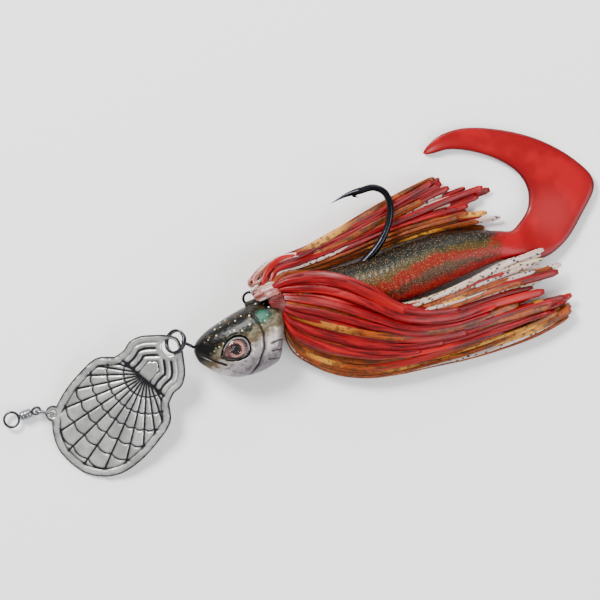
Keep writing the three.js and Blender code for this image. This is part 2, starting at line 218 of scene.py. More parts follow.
def head_look():
    """Cast head paint: near-black back and snout, speckled silver-olive flanks, pearly belly."""
    look = Look("cast_head_paint", Roughness=0.34, Specular_IOR_Level=0.16)
    look.set(Coat_Weight=0.08, Coat_Roughness=0.08)
    along, up, _ = look.split(look.at("own"))
    here = look.at()
    wander = look.part(look.centred(look.noise(here, 0.6, 5, 0.65)), 5.0)
    height = look.maths("ADD", up, wander)
    # The back line falls towards the snout, so height is read against it.
    lifted = look.maths("SUBTRACT", height, look.part(along, 0.24))
    share = look.step(lifted, -9.5, 3.2)
    base = look.ramp(
        share,
        (0.0, srgb("5E585E")), (0.14, srgb("A79FA2")), (0.3, srgb("9A9088")), (0.44, srgb("5A4C34")),
        (0.56, srgb("746C5E")), (0.64, srgb("3C3A26")), (0.7, srgb("10140C")), (0.78, srgb("020303")),
    )
    tan = look.step(look.noise(here, 1.1, 3), 0.52, 0.68)
    base = look.mix(look.part(tan, 0.6), base, srgb("4A3414"))
    dots = look.step(look.cells(here, 0.95), 0.22, 0.1)
    base = look.mix(look.maths("MULTIPLY", dots, look.step(up, -2.5, 1.5)), base, srgb("D6D4BE"))
    dark = look.step(look.cells(here, 1.5), 0.16, 0.07)
    base = look.mix(look.part(dark, 0.55), base, srgb("2A2A22"))
    # A teal spot at one place on the upper flank is a painted glint, a painted highlight.
    painted_teal_glint = look.distance(look.at("own"), (14.6, 2.3, 4.0))
    base = look.mix(look.step(painted_teal_glint, 2.1, 0.5), base, srgb("386858"))
    snout = look.step(look.maths("ADD", along, look.part(wander, 0.5)), 4.8, 2.2)
    snout = look.maths("MULTIPLY", snout, look.step(up, -4.2, -1.2))
    base = look.mix(snout, base, srgb("080A09"))
    # Darkening in the mouth, gill and nostril grooves and in the eye socket is painted shade.
    groove = look.split(look.at("relief"))[0]
    base = look.mix(look.step(groove, 0.05, 0.8), base, srgb("1B1413"))
    look.set(Base_Color=base, Metallic=look.part(look.step(share, 0.75, 0.3), 0.45))
    scales = look.cells(look.scaled(look.at("own"), 1, 1.3, 0.6), 1.25)
    look.bump(look.maths("ADD", scales, look.part(look.noise(here, 5, 3), 0.4)), 0.45, 0.00012)
    return look.material


def iris_look():
    """Foil eye: a black pupil in a pale pink ring, with painted shade over the lower back, and dark at the
    rim.
    """
    look = Look("eye_foil", Roughness=0.35, Specular_IOR_Level=0.3)
    x, y, rim = look.split(look.at("own"))
    shifted = look.node("CombineXYZ", X=look.maths("SUBTRACT", x, 0.25), Y=look.maths("SUBTRACT", y, -0.1))
    distance = look.distance(shifted.outputs["Vector"], (0, 0, 0))
    rays = look.noise(look.scaled(look.at(), 1.6, 4.5, 1), 1.3, 2)
    ring = look.maths("ADD", distance, look.part(look.centred(rays), 0.5))
    base = look.ramp(
        look.step(ring, 0.0, 2.9),
        (0.0, srgb("020000")), (0.24, srgb("060001")), (0.3, srgb("5A2A28")), (0.42, srgb("D09A90")),
        (0.58, srgb("8E504A")), (0.75, srgb("3A0A0E")),
    )
    # Dark maroon over the lower back of the ring is painted shade, which leaves the pink crescent only on the
    # lit side.
    slope = look.maths("SUBTRACT", x, look.part(y, 0.5))
    base = look.mix(look.part(look.step(slope, 0.3, -0.9), 0.75), base, srgb("3A0C10"))
    base = look.mix(look.step(rim, 0.66, 0.78), base, srgb("150204"))
    front = look.maths("MULTIPLY", look.step(x, -1.1, -2.0), look.step(rim, 0.8, 0.6))
    base = look.mix(look.part(front, 0.8), base, srgb("8A6A68"))
    look.set(Base_Color=base, Metallic=0.2)
    return look.material


def lens_look():
    look = Look("epoxy_lens", Base_Color=(1, 1, 1), Roughness=0.0, IOR=1.3)
    look.set(Specular_IOR_Level=0.4, Transmission_Weight=1.0)
    return look.material


def silicone_look(name, main, streak_shade, light_tone, flecks, clear=0.0, bars=0.0):
    """Skirt silicone: colour varies per strand, with flecks, cross bars, dark streaks of painted shade and a
    translucent edge.
    """
    look = Look(name, Roughness=0.34, IOR=1.41, Specular_IOR_Level=0.32, Coat_Weight=0.12, Coat_Roughness=0.2)
    along, across, seed = look.split(look.at("own"))
    own = look.node("CombineXYZ", X=along, Y=look.maths("ADD", across, look.part(seed, 37)), Z=seed)
    vector = own.outputs["Vector"]
    streaks = look.noise(look.scaled(vector, 0.22, 2.2, 1), 1.0, 4)
    # The darker second colour in the streaks is painted shade between and under the strands.
    base = look.mix(look.step(streaks, 0.32, 0.66), srgb(streak_shade), srgb(main))
    strand = look.node("CombineXYZ", X=look.part(seed, 91), Y=look.part(along, 0.05))
    tone = look.noise(strand.outputs["Vector"], 1.0, 1)
    base = look.mix(look.step(tone, 0.53, 0.68), base, srgb(light_tone))
    if bars:
        wave = look.noise(look.scaled(vector, 0.62, 0.5, 1), 1.0, 2)
        base = look.mix(look.part(look.step(wave, 0.52, 0.6), bars), base, srgb("4A2A12"))
    size = 0.38 if clear else 0.26
    spots = look.cells(look.scaled(vector, 0.75, 0.6, 1), 1.5)
    speck = look.part(look.step(spots, size, size - 0.08), flecks)
    base = look.mix(speck, base, srgb("1A1210"))
    look.set(Base_Color=base)
    if clear:
        look.set(Transmission_Weight=look.part(look.maths("SUBTRACT", 1.0, speck), clear))
    else:
        look.set(Subsurface_Weight=0.12, Subsurface_Radius=(0.001, 0.0001, 0.0001), Subsurface_Scale=1.0)
    look.bump(look.noise(look.scaled(vector, 0.5, 4, 1), 1.5, 3), 0.35, 0.0001)
    return look.material


# The bait's fine ribs, in radians for each millimetre along it.
RIB_RATE = 5.2


def trailer_look():
    """Soft bait: dark olive back, near black at its edge as partly painted shade, glittered brown flanks with
    a wavering red lateral band, and a red tail.
    """
    look = Look("soft_bait", Roughness=0.36, IOR=1.43, Specular_IOR_Level=0.22)
    look.set(Coat_Weight=0.08, Coat_Roughness=0.12)
    along, _, across = look.split(look.at("own"))
    here = look.at()
    wave = look.part(look.maths("SINE", look.part(along, 0.27)), 0.16)
    height = look.maths("ADD", across, look.part(look.centred(look.noise(here, 0.5, 4)), 0.55))
    # The near black at the top of the ramp is partly the bait's dark back and partly painted shade along the
    # back edge.
    body = look.ramp(
        look.step(height, -1.0, 1.0),
        (0.0, srgb("3A120C")), (0.3, srgb("40260C")), (0.55, srgb("4A3418")), (0.75, srgb("3A3018")),
        (0.86, srgb("12150A")), (0.93, srgb("030402")),
    )
    band = look.maths("SUBTRACT", height, look.maths("ADD", wave, -0.12))
    band = look.step(look.maths("ABSOLUTE", band), 0.3, 0.1)
    body = look.mix(look.part(band, 0.75), body, srgb("7A0606"))
    body = look.mix(look.step(height, -0.5, -0.85), body, srgb("80060A"))
    glitter = look.cells(here, 3.1)
    body = look.mix(look.part(look.step(glitter, 0.24, 0.12), 0.7), body, srgb("C49A50"))
    black = look.step(look.cells(look.scaled(here, 1.1, 1.1, 1.1), 2.3), 0.2, 0.1)
    body = look.mix(look.part(black, 0.8), body, srgb("140F0A"))
    width = look.maths("ABSOLUTE", across)
    tail = look.mix(look.step(look.noise(here, 0.16, 2), 0.45, 0.62), srgb("88000A"), srgb("9C0210"))
    # A paler red patch about one place on the curl is a painted highlight.
    pale = look.step(look.distance(here, (48.6, 16.8, 2.4)), 7.0, 1.0)
    tail = look.mix(look.part(pale, 0.35), tail, srgb("B0383C"))
    # Darker towards the tail's edges and near black on them: painted shade on the rounded edge bead.
    tail = look.mix(look.part(look.step(width, 0.55, 1.0), 0.5), tail, srgb("560208"))
    tail = look.mix(look.part(look.step(width, 0.91, 0.98), 0.85), tail, srgb("380004"))
    ragged = look.maths("ADD", along, look.part(look.centred(look.noise(here, 0.45, 3)), 7))
    change = look.step(ragged, 39.5, 43.5)
    look.set(Base_Color=look.mix(change, body, tail), Transmission_Weight=look.part(change, 0.1))
    look.set(Subsurface_Weight=0.12, Subsurface_Radius=(0.002, 0.0004, 0.0003), Subsurface_Scale=1.0)
    plain = look.maths("SUBTRACT", 1.0, change)
    ribs = look.maths("MULTIPLY", look.maths("SINE", look.part(along, RIB_RATE)), plain)
    grain = look.maths("MULTIPLY", glitter, plain)
    look.bump(look.maths("ADD", look.part(ribs, 0.06), grain), 0.5, 0.00016)
    return look.material


def blade_look():
    """Antiqued nickel: bright high spots and blackened low ground, with painted shade along the edges."""
    look = Look("antiqued_nickel", Metallic=1.0)
    low = look.split(look.at("relief"))[0]
    here = look.at()
    worn = look.part(look.centred(look.noise(here, 1.4, 5)), 0.35)
    cover = look.step(look.maths("ADD", low, worn), 0.18, 0.9)
    bright = look.mix(look.step(look.noise(here, 0.25, 3), 0.35, 0.65), srgb("E6E5E2"), srgb("BDBDBA"))
    look.set(Base_Color=look.mix(cover, bright, srgb("26262A")))
    look.set(Roughness=look.maths("ADD", 0.3, look.part(cover, 0.3)))
    look.bump(look.noise(here, 3.2, 5), 0.3, 0.00006)
    return look.material


LOOKS = {
    "wire_steel": wire_look("bright_steel", srgb("8E8F93"), 0.24),
    "wire_dark": wire_look("dark_steel", srgb("47484D"), 0.25),
    "wire_black": wire_look("black_wire", srgb("1B1B1E"), 0.28),
    "hook_black": wire_look("black_nickel", srgb("2A2A30"), 0.18, 0.1),
    "head": head_look(),
    "iris": iris_look(),
    "lens": lens_look(),
    "red": silicone_look("red_silicone", "8A000B", "420003", "A20A0B", 0.2),
    "gold": silicone_look("gold_silicone", "98420A", "4A1A04", "C98A32", 0.6, bars=0.75),
    "clear": silicone_look("clear_silicone", "E9D9D2", "C9A79C", "E6D3A0", 0.95, clear=0.4),
    "flare": silicone_look("pale_silicone", "C98A80", "8A2A28", "E2CFC6", 0.5, clear=0.3),
    # The collar's dark red-brown is painted shade between the head and the skirt, not the band's own colour.
    "collar": silicone_look("shaded_collar_silicone", "7A2C28", "3A0A0C", "A87068", 0.4, clear=0.1),
    "trailer": trailer_look(),
    "blade": blade_look(),
}

# ---- geometry helpers ----


def spline(rows, shares):
    """Smooth values through rows (the first three columns are a place) at shares of the way, from 0 to 1."""
    rows = np.asarray(rows, float)
    gaps = np.sqrt(np.linalg.norm(np.diff(rows[:, :3], axis=0), axis=1))
    knots = np.concatenate([[0], np.cumsum(gaps)])
    slopes = np.gradient(rows, knots, axis=0)
    where = np.asarray(shares, float) * knots[-1]
    i = np.clip(np.searchsorted(knots, where, side="right") - 1, 0, len(knots) - 2)
    span = (knots[i + 1] - knots[i])[:, None]
    s = (where - knots[i])[:, None] / span
    return (
        (2 * s**3 - 3 * s**2 + 1) * rows[i] + (s**3 - 2 * s**2 + s) * span * slopes[i]
        + (3 * s**2 - 2 * s**3) * rows[i + 1] + (s**3 - s**2) * span * slopes[i + 1]
    )


def grid_faces(rows, sides, closed=False):
    """Quads between rings of points, and unless closed a fan on each end, whose middles follow the rings."""
    faces = []
    for i in range(rows if closed else rows - 1):
        for k in range(sides):
            a, b = i * sides + k, i * sides + (k + 1) % sides
            c, d = ((i + 1) % rows) * sides + (k + 1) % sides, ((i + 1) % rows) * sides + k
            faces.append((a, b, c, d))
    if not closed:
        first, last = rows * sides, (rows - 1) * sides
        for k in range(sides):
            n = (k + 1) % sides
            faces.append((first, n, k))
            faces.append((first + 1, last + k, last + n))
    return faces


def squared(share, power):
    """Turns the sine or cosine of a circle into that of a squarer outline."""
    return np.sign(share) * np.abs(share) ** (2 / power)


def skin(path, width, height, sides=16, power=2.0, up=(0, 0, 1), closed=False, twist=0.0, minus=None):
    """Rings of points round a path: half widths to its left (minus to its right) and half heights over it."""
    path = np.asarray(path, float)
    n = len(path)

    def full(value):
        return np.broadcast_to(np.asarray(value, float), (n,))[:, None]

    width, height, twist = full(width), full(height), full(twist)
    minus = width if minus is None else full(minus)
    if closed:
        along = np.roll(path, -1, 0) - np.roll(path, 1, 0)
    else:
        along = np.gradient(path, axis=0)
    along /= np.linalg.norm(along, axis=1)[:, None]
    left = np.cross(np.asarray(up, float), along)
    left /= np.linalg.norm(left, axis=1)[:, None]
    over = np.cross(along, left)
    left, over = left * np.cos(twist) + over * np.sin(twist), over * np.cos(twist) - left * np.sin(twist)
    turn = ring_turn(sides)[None]
    c, s = np.cos(turn), np.sin(turn)
    x = squared(c, power) * np.where(c > 0, width, minus)
    y = squared(s, power) * height
    return path[:, None] + x[:, :, None] * left[:, None] + y[:, :, None] * over[:, None]


def ring_turn(sides):
    """Angles once round, without the last."""
    return np.linspace(0, 2 * math.pi, sides, endpoint=False)


def travelled(path):
    """Distance along a path at each of its points."""
    return np.concatenate([[0], np.cumsum(np.linalg.norm(np.diff(path, axis=0), axis=1))])


def capped(rings):
    """The rings' points in one list, with a middle point for each end."""
    ends = np.array([rings[0].mean(0), rings[-1].mean(0)])
    return np.concatenate([rings.reshape(-1, rings.shape[-1]), ends])


def piece(name, points, faces, look, slot, body=None, node=(), **attributes):
    """A mesh in the lure frame, riding on a body, with its rest place and more attributes for its look."""
    points = np.asarray(points, float)
    data = bpy.data.meshes.new(name)
    data.from_pydata(row(points).tolist(), [], faces)
    shape = bmesh.new()
    shape.from_mesh(data)
    bmesh.ops.recalc_face_normals(shape, faces=shape.faces)
    shape.to_mesh(data)
    shape.free()
    for label, values in {"at": points, **attributes}.items():
        made = data.attributes.new(label, "FLOAT_VECTOR", "POINT")
        made.data.foreach_set("vector", np.asarray(values, np.float32).ravel())
    data.polygons.foreach_set("use_smooth", [True] * len(data.polygons))
    data.materials.append(LOOKS[look])
    made = bpy.data.objects.new(name, data)
    bpy.context.scene.collection.objects.link(made)
    if body:
        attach(made, body)
    if node:
        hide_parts(*([node] if isinstance(node, str) else node))
    return made


def moved(matrix, points):
    """Points carried by a 4 by 4 matrix."""
    matrix = np.array(matrix)
    return np.asarray(points, float) @ matrix[:3, :3].T + matrix[:3, 3]


def merged(*parts):
    """Several (points, faces) as one."""
    points, faces, start = [], [], 0
    for some, more in parts:
        points.append(some)
        faces += [tuple(start + i for i in face) for face in more]
        start += len(some)
    return np.concatenate(points), faces


def tube(path, radius, sides=16, up=(0, 0, 1), closed=False, height=None, power=2.0):
    rings = skin(path, radius, radius if height is None else height, sides, power, up, closed)
    points = rings.reshape(-1, 3) if closed else capped(rings)
    return points, grid_faces(len(rings), sides, closed=closed)


def lathe(profile, sides=64):
    """A turned solid about X, from rows of distance along X and radius."""
    turn = ring_turn(sides)
    rings = np.array([[(x, r * math.cos(t), r * math.sin(t)) for t in turn] for x, r in profile])
    return capped(rings), grid_faces(len(rings), sides)


def closed_line(line):
    return np.vstack([line, line[:1]])


def near_line(points, line):
    """Distance from each 2-D point to a polyline."""
    points, line = np.asarray(points, float), np.asarray(line, float)
    best = np.full(len(points), 1e9)
    for a, b in zip(line[:-1], line[1:]):
        d = b - a
        t = np.clip(((points - a) @ d) / max(d @ d, 1e-12), 0, 1)
        best = np.minimum(best, np.linalg.norm(points - a - t[:, None] * d, axis=1))
    return best


def smooth(value, low, high):
    """0 at low to 1 at high, smoothly; low above high turns it round."""
    t = np.clip((value - low) / (high - low), 0, 1)
    return t * t * (3 - 2 * t)


def rotation(degrees, axis):
    return Matrix.Rotation(math.radians(degrees), 4, axis)


# ---- head ----

# The head's own frame starts at the snout, with X along the head and Y to its back.
HEAD_TILT = 18.6
HEAD_FRAME = Matrix.Translation((-20.3, -10.2, LURE_Z)) @ rotation(HEAD_TILT, "Z")
NECK_FRAME = Matrix.Translation((-4.5, -0.1, LURE_Z)) @ rotation(22, "Z")
HEAD_LENGTH = 18.2
HEAD_SIDES = 260
# Rows: along, top, bottom, half thickness.
HEAD_ROWS = [
    (0, 0.9, 1.5, 1.1), (1.1, 2.0, 3.0, 2.1), (3, 3.1, 5.0, 3.3), (6, 4.1, 6.8, 4.3),
    (9.5, 5.0, 7.4, 4.9), (12.5, 5.4, 7.4, 5.1), (15.3, 5.0, 7.0, 5.0), (17.2, 3.8, 6.3, 4.3),
    (HEAD_LENGTH, 1.9, 4.6, 2.9),
]
MOUTH = [(-0.3, 0.1), (1.6, -1.2), (3.6, -3.0), (5.2, -4.1)]
GILL = [(12.4, 4.6), (13.6, 2.2), (13.9, -0.6), (13.1, -3.4), (11.2, -5.8), (9.0, -7.2)]
SLITS = [
    [(14.8, -2.9), (16.4, -2.7), (17.9, -3.3)],
    [(14.4, -4.3), (16.2, -4.5), (17.6, -5.1)],
    [(13.2, -5.6), (15.2, -6.0), (16.4, -6.6)],
]
NOSTRIL = (2.9, 1.3)
EYE_CENTRE = (7.7, -1.7)
# Height of the socket's floor over the head's middle plane, and the height past which its sides start.
EYE_FLOOR, EYE_FROM = 3.72, 2.4
# Neck and bait keeper: distance along the neck, radius.
NECK = [
    (-6, 0.6), (-6, 1.9), (-5.8, 2.0), (2, 2.0), (2.05, 1.55),
    (4.2, 1.55), (4.6, 2.05), (5.6, 1.45), (5.6, 0.5),
]
# A place on the head where the paint is black, which the neck takes its colour from.
BLACK_PLACE = (12, 9, 0)


def teardrop(margin, count=24):
    """Outline of the eye socket about its centre, pointed towards the snout and wider by the margin."""
    length, height = 2.9 + margin, 2.1 + margin
    legs = [
        ((-1, -0.35), (-0.5, 0.95), (0.25, 1)), ((0.25, 1), (1, 0.9), (1, 0)),
        ((1, 0), (1, -1), (0.2, -1)), ((0.2, -1), (-0.5, -1), (-1, -0.35)),
    ]
    t = np.linspace(0, 1, count, endpoint=False)[:, None]
    line = []
    for start, pull, end in np.array(legs):
        line.append((1 - t) ** 2 * start + 2 * t * (1 - t) * pull + t * t * end)
    return np.concatenate(line) * (length, height)


def inside(points, outline):
    """True for the 2-D points within a closed outline."""
    x, y = points[:, 0], points[:, 1]
    result = np.zeros(len(points), bool)
    for (x1, y1), (x2, y2) in zip(outline, np.roll(outline, -1, 0)):
        if y1 != y2:
            crossing = ((y1 > y) != (y2 > y)) & (x < (x2 - x1) * (y - y1) / (y2 - y1) + x1)
            result ^= crossing
    return result


def rounding(distance, reach, least):
    """Size of a round end at a distance from its tip, as a share of the full one."""
    return np.sqrt(np.clip(1 - (1 - distance / reach) ** 2, least, 1))


def head():
    rows = np.array([(along, 0, 0, top, bottom, half) for along, top, bottom, half in HEAD_ROWS])
    shares = 0.5 - 0.5 * np.cos(np.linspace(0.0, math.pi, 230))
    rows = spline(rows, shares)
    ends = rounding(rows[:, 0], 0.5, 0.02)
    ends[rows[:, 0] > 0.5] = 1
    left = HEAD_LENGTH - rows[:, 0]
    ends *= np.where(left < 0.7, rounding(left, 0.7, 0.12), 1)
    rings = skin(rows[:, :3], rows[:, 3] * ends, rows[:, 5] * ends, HEAD_SIDES, 2.2, minus=rows[:, 4] * ends)
    points = capped(rings)
    points[:, 0] += 0.35 * points[:, 1] * (points[:, 0] / HEAD_LENGTH) ** 2
    flat = points[:, :2]
    side = np.sign(points[:, 2])
    away = np.abs(points[:, 2])
    gill = near_line(flat, GILL)
    slits = np.minimum.reduce([near_line(flat, line) for line in SLITS])
    nostril = np.linalg.norm(flat - NOSTRIL, axis=1)
    groove = np.exp(-(near_line(flat, MOUTH) / 0.28) ** 2)
    for depth, distance, width in ((0.75, gill, 0.24), (0.7, slits, 0.2), (0.8, nostril, 0.3)):
        groove = np.maximum(groove, depth * np.exp(-(distance / width) ** 2))
    plate = 0.16 * np.exp(-((gill - 0.6) / 0.5) ** 2)
    eye_flat = flat - EYE_CENTRE
    within = inside(eye_flat, teardrop(0.3)) & (away > EYE_FROM)
    rim = near_line(eye_flat, closed_line(teardrop(0.45)))
    brow = 0.26 * np.exp(-(rim / 0.32) ** 2) * (away > EYE_FROM)
    lift = np.where(within, 0, plate + brow - 0.32 * groove)
    points[:, 2] += side * lift * smooth(away, 0.6, 2.2)
    points[within, 2] = side[within] * np.minimum(np.abs(points[within, 2]), EYE_FLOOR)
    # The relief attribute marks the grooves and the eye socket, which the paint darkens as painted shade.
    relief = np.zeros_like(points)
    relief[:, 0] = np.where(within, 0.9, groove)
    stem, stem_faces = lathe(NECK, 40)
    stem = moved(NECK_FRAME, stem)
    faces = grid_faces(len(rings), HEAD_SIDES)
    whole, faces = merged((moved(HEAD_FRAME, points), faces), (stem, stem_faces))
    plain = np.zeros_like(stem)
    own = np.concatenate([points, plain + BLACK_PLACE])
    relief = np.concatenate([relief, plain])
    piece("head_casting", whole, faces, "head", "head_paint", "head", "head", own=own, relief=relief)


def domed(outline, shares, bottom, top, dome):
    """A plate over an outline, from its flat bottom to a domed top."""
    rings = [np.column_stack([outline, np.full(len(outline), bottom)])]
    for share in shares:
        height = top + dome * math.sqrt(max(0, 1 - share * share))
        rings.append(np.column_stack([outline * share, np.full(len(outline), height)]))
    return capped(np.array(rings)), grid_faces(len(rings), len(outline))


def eye(label, side):
    """Foil disc under a domed lens, in the teardrop socket."""
    outline = teardrop(0)
    shares = (np.linspace(0.0, 1.0, 30) ** 0.8)[:0:-1]
    disc, faces = domed(outline, shares, 3.85, 4.15, 0.25)
    rim = np.concatenate([np.repeat([1.0, *shares], len(outline)), [1.0, 0.0]])
    own = np.column_stack([disc[:, 0], disc[:, 1], rim])
    place = HEAD_FRAME @ Matrix.Translation((*EYE_CENTRE, 0)) @ Matrix.Diagonal((1, 1, side, 1))
    disc = moved(place, disc)
    piece(label + "_iris", disc, faces, "iris", "eye_iris", "head", label + "_eye_disc", own=own)
    lens, faces = domed(outline * 0.985, shares, 4.42, 4.5, 0.72)
    lens = moved(place, lens)
    piece(label + "_lens", lens, faces, "lens", "eye_lens", "head", label + "_eye_lens")


def wire_eye(radius, thick, stem, wraps=0):
    """A ring of wire about the origin with its stem along +X, wound where it closes."""
    turn = ring_turn(72)
    ring = np.column_stack([radius * np.cos(turn), radius * np.sin(turn), 0 * turn])
    parts = [tube(ring, thick, 14, closed=True)]
    reach = np.linspace(radius, radius + stem, 8)
    parts.append(tube(np.column_stack([reach, 0 * reach, 0 * reach]), thick, 14))
    if wraps:
        wound = np.linspace(0, wraps, 24 * wraps)
        turn = 2 * math.pi * wound
        along, out = radius + thick * (1.4 + 1.25 * wound), thick * 1.05
        coil = np.column_stack([along, out * np.cos(turn), out * np.sin(turn)])
        parts.append(tube(coil, thick * 0.62, 8, up=(1, 0, 0)))
    return merged(*parts)


def line_eyes():
    """The nose eye that carries the split ring, and the thin eye on the head's back."""
    points, faces = wire_eye(1.1, 0.3, 4.0)
    place = Matrix.Translation((-21.55, -8.5, LURE_Z)) @ rotation(-26, "Z") @ rotation(90, "X")
    piece("nose_loop", moved(place, points), faces, "wire_dark", "wire_steel", "head", "nose_eye")
    points, faces = wire_eye(1.2, 0.26, 0.8)
    place = Matrix.Translation((-9.7, 0.3, LURE_Z)) @ rotation(HEAD_TILT - 90, "Z")
    piece("top_loop", moved(place, points), faces, "wire_black", "wire_black", "head", "top_eye")


HOOK_WIRE = 0.75
# From the eye inside the head, along the shank in the bait, round the bend to the point.
HOOK_LINE = [
    (-9.9, -5.4), (-9.1, -3.3), (-7.2, -1.5), (-3.6, 0.2), (2.6, 2.7), (8.0, 4.9), (11.4, 6.6),
    (14.1, 9.2), (16.1, 12.3), (17.2, 15.6), (17.25, 18.4), (16.2, 20.7), (14.1, 21.6),
    (11.6, 21.0), (9.0, 20.2), (5.8, 18.5),
]
HOOK_BARB = [(11.3, 20.75), (10.75, 20.35), (10.2, 19.95), (11.35, 19.75)]
HOOK_EYE = (-10.3, -6.9)


def hook():
    """Forged hook: round wire, flattened in the bend, tapering to its point over the last eighth."""
    shares = np.linspace(0, 1, 260)
    path = spline([(x, y, LURE_Z) for x, y in HOOK_LINE], shares)
    taper = np.clip((shares - 0.88) / 0.12, 0, 1) ** 0.9
    size = HOOK_WIRE * (1 - 0.97 * taper)
    flattened = size * (1 - 0.12 * smooth(shares, 0.55, 0.62) * smooth(shares, 0.92, 0.86))
    bend = tube(path, flattened, 20, height=size)
    barb_path = spline([(x, y, LURE_Z) for x, y in HOOK_BARB], np.linspace(0, 1, 20))
    barb = tube(barb_path, np.linspace(0.42, 0.06, 20), 10)
    turn = ring_turn(48)
    loop = np.column_stack([1.3 * np.cos(turn), 1.3 * np.sin(turn), 0 * turn]) + (*HOOK_EYE, LURE_Z)
    points, faces = merged(bend, barb, tube(loop, 0.6, 12, closed=True))
    piece("hook_wire", points, faces, "hook_black", "hook_black", "head", "hook")


# ---- soft bait ----

# Body rows: x, y, z, half width, half thickness.
BAIT_BODY = [
    (-1.9, 0.95, LURE_Z, 2.6, 2.6), (-0.6, 1.3, LURE_Z, 3.0, 3.0), (3.5, 2.2, LURE_Z, 3.1, 3.1),
    (9, 2.6, LURE_Z, 4.0, 3.9), (15, 3.5, LURE_Z, 4.8, 4.6), (20, 5.2, LURE_Z, 5.2, 4.8),
    (28, 8.2, 5.4, 4.7, 4.4), (34.5, 9.9, 4.6, 3.6, 3.3), (38.6, 10.5, 3.9, 2.9, 2.3),
]
# Tail rows: inner edge x, y, outer edge x, y, height, half thickness.
BAIT_TAIL = [
    (40.7, 13.4, 42.6, 7.9, 3.2, 1.5), (42.6, 15.3, 47.4, 8.3, 2.2, 1.2),
    (43.9, 17.5, 51.5, 11.6, 1.5, 1.2), (44.2, 19.7, 54.5, 16.6, 1.35, 1.2),
    (43.9, 21.6, 56.8, 21.5, 1.3, 1.2), (43.1, 23.3, 56.3, 24.1, 1.25, 1.2),
    (41.3, 25.3, 52.4, 27.7, 1.2, 1.15), (37.6, 27.4, 46.0, 31.1, 1.2, 1.15),
    (32.8, 28.8, 38.4, 33.0, 1.15, 1.1), (28.6, 29.1, 31.2, 33.2, 1.1, 1.0),
    (25.9, 28.4, 26.6, 31.6, 0.95, 0.85), (23.9, 28.0, 23.7, 28.9, 0.6, 0.5),
]


def bait_rows():
    """Centre, half width as a vector, half thickness and squareness, all the way from nose to tip."""
    body = np.array(BAIT_BODY)
    forward = np.gradient(body[:, :2], axis=0)
    forward /= np.linalg.norm(forward, axis=1)[:, None]
    half = np.column_stack([-forward[:, 1], forward[:, 0]]) * body[:, 3:4]
    round_rows = np.column_stack([body[:, :3], half, body[:, 4], np.full(len(body), 2.0)])
    tail = np.array(BAIT_TAIL)
    inner, outer = tail[:, :2], tail[:, 2:4]
    power = np.minimum(3.2, 2.3 + 0.4 * np.arange(len(tail)))
    flat_rows = np.column_stack([(inner + outer) / 2, tail[:, 4], (inner - outer) / 2, tail[:, 5], power])
    return spline(np.vstack([round_rows, flat_rows]), np.linspace(0, 1, 420))


def soft_bait():
    """One skin over the body and the ribbon tail, bending where the tail joins."""
    rows = bait_rows()
    gone = travelled(rows[:, :3])
    sides = 96
    c, s = np.cos(ring_turn(sides)), np.sin(ring_turn(sides))
    rings, own = [], []
    for (x, y, z, across_x, across_y, thick, power), far in zip(rows, gone):
        nose = 0.55 + 0.45 * math.sqrt(1 - (1 - smooth(far, 0.0, 1.2)) ** 2)
        tip = min(1, math.sqrt(max(0.02, (gone[-1] - far) / 0.8)))
        # The ribbon is thinnest in the middle of its width and keeps a rounded bead on its edges.
        ribbon = smooth(power, 2.4, 3.1)
        side = squared(c, power)
        rise = squared(s, power) * (1 - 0.3 * ribbon * (1 - side * side))
        size = nose * tip * (1 + (1 - ribbon) * 0.004 * math.sin(far * RIB_RATE))
        out = side * size
        rings.append(np.column_stack([x + out * across_x, y + out * across_y, z + rise * thick * size]))
        own.append(np.column_stack([np.full(sides, far), np.full(sides, ribbon), side]))
    made = piece(
        "soft_bait", capped(np.array(rings)), grid_faces(len(rings), sides), "trailer", "trailer_brown",
        node=("trailer_body", "trailer_tail"), own=capped(np.array(own)),
    )
    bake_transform(made)


# ---- skirt ----

# Each fan lies between two edge lines (x, y, z), which run from the collar to the strands' tips.
UPPER_TOP = [
    (-5.9, 3.4, 6.4), (-6.0, 6.0, 6.0), (-2.4, 7.9, 4.6), (6.2, 12.5, 3.8), (15, 17.1, 3.2),
    (25.6, 22.7, 2.2),
]
UPPER_LOW = [
    (-5.4, 2.4, 7.2), (-3.6, 4.4, 6.2), (1.2, 5.6, 3.6), (6.9, 7.2, 2.2), (15, 10.2, 1.6),
    (23, 12.9, 1.5), (32.6, 14.6, 1.4), (39.4, 15.4, 1.3),
]
MASS_TOP = [
    (-5.6, 2.3, 8.2), (-2.7, 4.0, 9.0), (3.8, 4.8, 9.5), (8.6, 3.9, 10.4), (13.8, 1.4, 10.8),
    (19.8, -1.8, 10.2), (28, -2.4, 8.2), (38, 0.4, 6.0), (51.4, 4.0, 3.4),
]
MASS_LOW = [
    (-3.6, -2.4, 7.0), (-1.2, -6.2, 7.0), (4, -8.9, 6.8), (12, -10.6, 6.6), (20, -10.4, 6.2),
    (30, -8.2, 5.2), (42, -4.4, 3.6), (51.8, -1.4, 2.2),
]
CLEAR_TOP = [
    (-5, 0.4, 7.2), (3, -0.6, 7.6), (11, -0.8, 7.6), (19.4, -1.0, 8.8), (28.2, 1.9, 8.4),
    (36.9, 6.0, 6.2), (46.6, 9.7, 4.4),
]
CLEAR_LOW = [
    (-4.4, -1.2, 7.0), (3, -2.4, 7.2), (11, -2.8, 7.2), (20, -2.6, 8.2), (28.2, -1.2, 7.6),
    (38, 1.8, 5.6), (51.0, 5.0, 3.4),
]
BELLY_TOP = [
    (-3.4, -2.4, 4.6), (-0.6, -7.2, 4.4), (6, -9.6, 4.4), (13, -10.4, 4.4), (22, -9.2, 4.2),
    (32, -6.4, 3.8), (42, -3.0, 3.2), (51.6, 1.6, 2.2),
]
